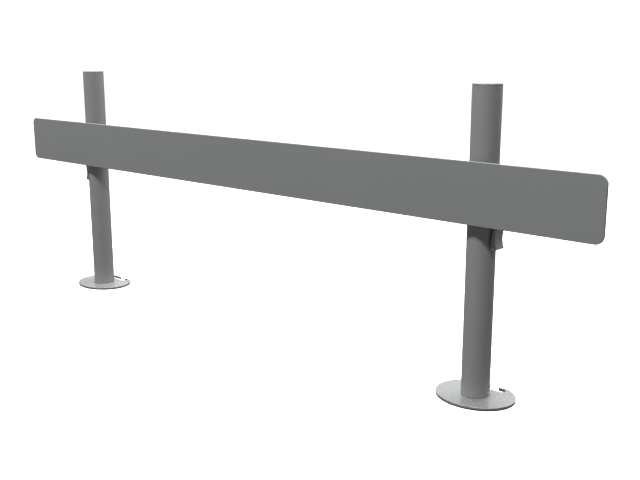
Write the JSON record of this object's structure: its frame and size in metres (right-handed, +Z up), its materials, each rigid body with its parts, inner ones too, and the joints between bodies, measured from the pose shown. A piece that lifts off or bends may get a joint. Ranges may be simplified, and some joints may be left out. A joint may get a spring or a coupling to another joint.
{
  "type": "desk rail on height-adjustable posts",
  "caption": "Long flat desk-top rail panel held clear of the desk on round posts with oval base plates; it slides up and down the posts by sprung thumb levers.",
  "frame": {"origin": "on the desk plane, halfway between the two stands, in the middle of the base plates' depth", "axes": "+X along the rail to its right end, -Y the way the rail's plain face looks, +Z up"},
  "size_m": [1.2, 0.0864, 0.41],
  "materials": {
    "panel_paint": "satin silver-grey powder coat",
    "post_paint": "satin silver-grey powder coat",
    "plate_paint": "satin silver-grey powder coat",
    "pad_rubber": "matte black",
    "casting_paint": "fine-textured dark grey coat",
    "lever_nylon": "matte moulded grey",
    "acetal": "smooth black",
    "urethane": "matte",
    "zinc_steel": "zinc plated"
  },
  "bodies": {
    "right_stand": {"base_pad_right": "pad_rubber", "base_plate_right": "plate_paint", "base_screw_1_right": "zinc_steel", "base_screw_2_right": "zinc_steel", "base_screw_3_right": "zinc_steel", "foot_plug_right": "zinc_steel", "post_tube_right": "post_paint", "post_cap_right": "post_paint"},
    "left_stand": {"base_pad_left": "pad_rubber", "base_plate_left": "plate_paint", "base_screw_1_left": "zinc_steel", "base_screw_2_left": "zinc_steel", "base_screw_3_left": "zinc_steel", "foot_plug_left": "zinc_steel", "post_tube_left": "post_paint", "post_cap_left": "post_paint"},
    "rail": {"panel": "panel_paint", "carriage_left": "casting_paint", "bush_lower_left": "acetal", "bush_upper_left": "acetal", "lever_pin_left": "zinc_steel", "panel_stud_1_left": "zinc_steel", "panel_stud_2_left": "zinc_steel", "stud_washer_1_left": "zinc_steel", "stud_washer_2_left": "zinc_steel", "stud_nut_1_left": "zinc_steel", "stud_nut_2_left": "zinc_steel", "carriage_right": "casting_paint", "bush_lower_right": "acetal", "bush_upper_right": "acetal", "lever_pin_right": "zinc_steel", "panel_stud_1_right": "zinc_steel", "panel_stud_2_right": "zinc_steel", "stud_washer_1_right": "zinc_steel", "stud_washer_2_right": "zinc_steel", "stud_nut_1_right": "zinc_steel", "stud_nut_2_right": "zinc_steel"},
    "left_lever": {"thumb_lever_left": "lever_nylon", "brake_shoe_left": "urethane", "lever_spring_left": "zinc_steel"},
    "right_lever": {"thumb_lever_right": "lever_nylon", "brake_shoe_right": "urethane", "lever_spring_right": "zinc_steel"}
  },
  "joints": [
    {"name": "rail_height", "type": "slide", "parent": "right_stand", "child": "rail", "axis": [0, 0, 1], "range_m": [-0.19, 0.1]},
    {"name": "left_post_slide", "type": "slide", "parent": "rail", "child": "left_stand", "axis": [0, 0, 1], "range_m": [-0.1, 0.19]},
    {"name": "right_lever_press", "type": "hinge", "parent": "rail", "child": "right_lever", "pos_m": [0.4512, 0.00325, 0.266], "axis": [0, 1, 0], "range_deg": [0, 2.4], "stiffness_Nm_per_rad": 4, "springref_deg": -5.73},
    {"name": "left_lever_press", "type": "hinge", "parent": "rail", "child": "left_lever", "pos_m": [-0.4512, 0.00325, 0.266], "axis": [0, -1, 0], "range_deg": [0, 2.4], "stiffness_Nm_per_rad": 4, "springref_deg": -5.73}
  ],
  "couplings": [
    {"joint": "left_post_slide", "follows": "rail_height", "ratio": -1}
  ]
}
